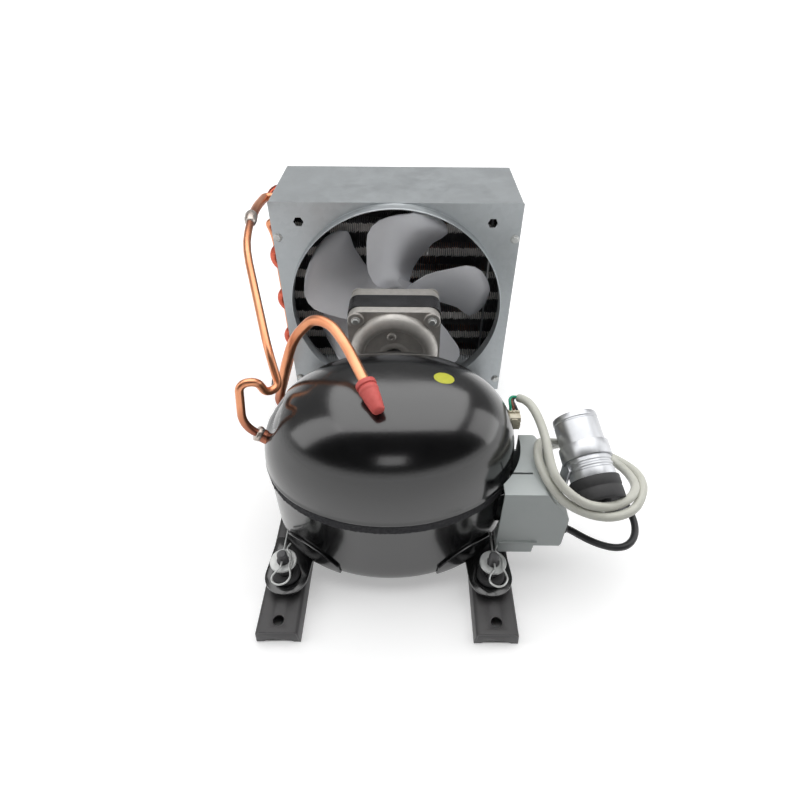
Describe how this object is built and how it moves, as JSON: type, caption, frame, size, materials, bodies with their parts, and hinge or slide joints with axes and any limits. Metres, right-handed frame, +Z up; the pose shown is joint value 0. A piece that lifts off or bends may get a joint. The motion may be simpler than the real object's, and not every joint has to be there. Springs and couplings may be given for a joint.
{
  "type": "refrigeration condensing unit",
  "caption": "Refrigeration condensing unit: a domed hermetic compressor, a shrouded axial fan and a finned coil on two base rails, with relay cover, run capacitor and copper lines.",
  "frame": {"origin": "on the floor under the middle of the unit without its cables: half way along the rails, and half way between the outermost return bend of the coil on the left and the capacitor boot's tail on the right", "axes": "+X towards the compressor's terminal side, +Y from the compressor towards the fan and the coil, +Z up"},
  "size_m": [0.3409, 0.42, 0.2344],
  "materials": {
    "rail_paint": "satin black paint",
    "shell_paint": "gloss black paint",
    "weld": "rough painted weld",
    "zinc": "zinc-plated",
    "rubber": "matte",
    "red_rubber": "matte",
    "relay_plastic": "pale grey, satin",
    "connector_plastic": "satin",
    "can_aluminium": "satin",
    "white_cable": "satin",
    "black_cable": "satin",
    "copper": "drawn copper",
    "silver_braze": "brazed",
    "shroud_sheet": "galvanised sheet",
    "fins": "bare",
    "galvanised": "galvanised",
    "motor_paint": "die-cast",
    "laminations": "stacked sheet, painted black",
    "winding": "enamelled wire",
    "steel": "machined",
    "fan_metal": "pressed",
    "iron": "as cast",
    "glass_seal": "satin"
  },
  "bodies": {
    "unit": {"rail_left": "rail_paint", "rail_right": "rail_paint", "lower_shell": "shell_paint", "upper_shell": "shell_paint", "seam_weld": "weld", "foot_front_left": "shell_paint", "foot_front_right": "shell_paint", "foot_rear_left": "shell_paint", "foot_rear_right": "shell_paint", "mounting_studs": "zinc", "rubber_grommets": "rubber", "spacer_sleeves": "steel", "retaining_washers": "zinc", "hairpin_clips": "zinc", "discharge_stub": "copper", "suction_stub": "copper", "discharge_tube": "copper", "suction_tube": "copper", "coil_inlet_tube": "copper", "liquid_tube": "copper", "brazed_joint": "silver_braze", "terminal_fence": "shell_paint", "hermetic_terminal": "glass_seal", "relay_cover": "relay_plastic", "start_relay": "relay_plastic", "overload_protector": "relay_plastic", "wire_connector": "connector_plastic", "capacitor_can": "can_aluminium", "capacitor_boot": "rubber", "capacitor_bracket": "rail_paint", "supply_cable": "white_cable", "capacitor_cable": "black_cable", "supply_cable_loops": "white_cable", "core_wires": "black_cable", "shroud": "shroud_sheet", "shroud_screws": "zinc", "fin_pack": "fins", "end_plate_left": "galvanised", "end_plate_right": "galvanised", "coil_tubes": "copper", "return_bends_left": "copper", "return_bends_right": "copper", "motor_front_cover": "motor_paint", "motor_laminations": "laminations", "motor_rear_cover": "motor_paint", "motor_windings": "winding", "motor_screws": "zinc", "motor_bearings": "steel", "motor_stand": "rail_paint", "stand_bolts": "zinc", "compressor_stator": "laminations", "pump_block": "iron", "piston_and_rod": "steel"},
    "fan": {"fan_blade": "fan_metal", "fan_hub": "steel", "motor_shaft": "steel", "motor_rotor": "laminations"},
    "pump": {"pump_rotor": "laminations"},
    "suction_plug": {"suction_cap": "red_rubber"},
    "liquid_plug": {"liquid_cap": "rubber"}
  },
  "joints": [
    {"name": "fan_spin", "type": "hinge", "parent": "unit", "child": "fan", "pos_m": [-0.03, 0.091, 0.1275], "axis": [0, 1, 0], "continuous": true},
    {"name": "pump_spin", "type": "hinge", "parent": "unit", "child": "pump", "pos_m": [-0.0315, -0.098, 0.075], "axis": [0, 0, 1], "continuous": true},
    {"name": "suction_cap_pull", "type": "slide", "parent": "unit", "child": "suction_plug", "axis": [0.4234, -0.8468, -0.3218], "range_m": [0, 0.02]},
    {"name": "liquid_cap_pull", "type": "slide", "parent": "unit", "child": "liquid_plug", "axis": [0.0447, -0.4468, 0.8935], "range_m": [0, 0.015]}
  ]
}
